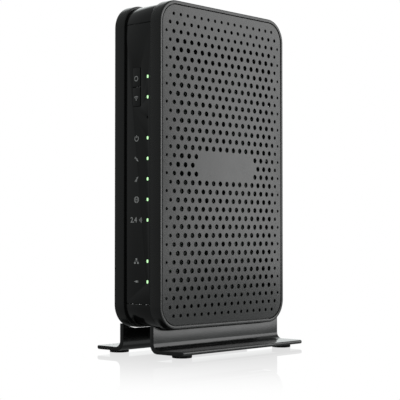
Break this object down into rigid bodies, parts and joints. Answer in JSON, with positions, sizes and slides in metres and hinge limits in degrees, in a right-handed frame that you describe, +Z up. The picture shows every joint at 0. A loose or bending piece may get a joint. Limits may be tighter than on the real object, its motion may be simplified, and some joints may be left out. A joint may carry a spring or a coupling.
{
  "type": "cable modem",
  "caption": "Slim upright cable modem with vented sides, a lamp and button fascia, rear coax, network, USB and power ports, on a flared stand with rubber feet.",
  "frame": {"origin": "on the resting surface, under the middle of the overall box", "axes": "+Z up; the lamps and push buttons face -Y, the ports face +Y; the vented sides face -X and +X"},
  "size_m": [0.0732, 0.1258, 0.216],
  "materials": {
    "cover_plastic": "fine satin grain, warm black",
    "fascia_plastic": "smooth semi-gloss black",
    "stand_plastic": "smooth semi-gloss black",
    "rubber": "matt black",
    "circuit_board": "green solder mask",
    "chip_black": "moulded epoxy and plastic",
    "tin": "tinned or zinc-plated steel",
    "aluminium": "extruded, plain",
    "nickel": "bright nickel plate",
    "lamp_lens": "clear light guide, lit pale green",
    "white_plastic": "plain white"
  },
  "bodies": {
    "stand": {"stand": "stand_plastic", "foot_1": "rubber", "foot_2": "rubber", "foot_3": "rubber", "foot_4": "rubber"},
    "modem": {"left_cover": "cover_plastic", "right_cover": "cover_plastic", "left_vent_panel": "cover_plastic", "right_vent_panel": "cover_plastic", "mid_frame": "fascia_plastic", "front_fascia": "fascia_plastic", "port_plate": "fascia_plastic", "wps_switch": "chip_black", "wifi_switch": "chip_black", "front_board": "circuit_board", "light_guide": "lamp_lens", "main_board": "circuit_board", "modem_chip": "chip_black", "heat_sink": "aluminium", "tuner_shield": "tin", "memory_chip_1": "chip_black", "memory_chip_2": "chip_black", "flash_chip": "chip_black", "power_inductor": "chip_black", "lan_magnetics": "chip_black", "capacitor_1": "chip_black", "capacitor_2": "chip_black", "antenna_1": "circuit_board", "antenna_2": "circuit_board", "antenna_lead_1": "chip_black", "antenna_lead_2": "chip_black", "lan_jack_1": "chip_black", "lan_jack_2": "chip_black", "usb_port": "tin", "dc_jack": "chip_black", "dc_pin": "nickel", "coax_connector": "nickel", "coax_nut": "nickel", "coax_insulator": "white_plastic", "power_switch": "chip_black", "reset_switch": "chip_black", "cover_screw_1": "tin", "cover_screw_2": "tin", "cover_screw_3": "tin", "cover_screw_4": "tin", "board_screw_1": "tin", "board_screw_2": "tin", "board_screw_3": "tin", "board_screw_4": "tin"},
    "wps_button": {"wps_button": "fascia_plastic"},
    "wifi_button": {"wifi_button": "fascia_plastic"},
    "power_button": {"power_button": "fascia_plastic"},
    "reset_button": {"reset_button": "white_plastic"}
  },
  "joints": [
    {"name": "stand_release", "type": "slide", "parent": "stand", "child": "modem", "axis": [0, 0, 1], "range_m": [0, 0.03]},
    {"name": "wps_press", "type": "slide", "parent": "modem", "child": "wps_button", "axis": [0, 1, 0], "range_m": [0, 0.0006], "stiffness_N_per_m": 200},
    {"name": "wifi_press", "type": "slide", "parent": "modem", "child": "wifi_button", "axis": [0, 1, 0], "range_m": [0, 0.0006], "stiffness_N_per_m": 200},
    {"name": "power_press", "type": "slide", "parent": "modem", "child": "power_button", "axis": [0, -1, 0], "range_m": [0, 0.0018], "stiffness_N_per_m": 200},
    {"name": "reset_press", "type": "slide", "parent": "modem", "child": "reset_button", "axis": [0, -1, 0], "range_m": [0, 0.0004], "stiffness_N_per_m": 200}
  ]
}
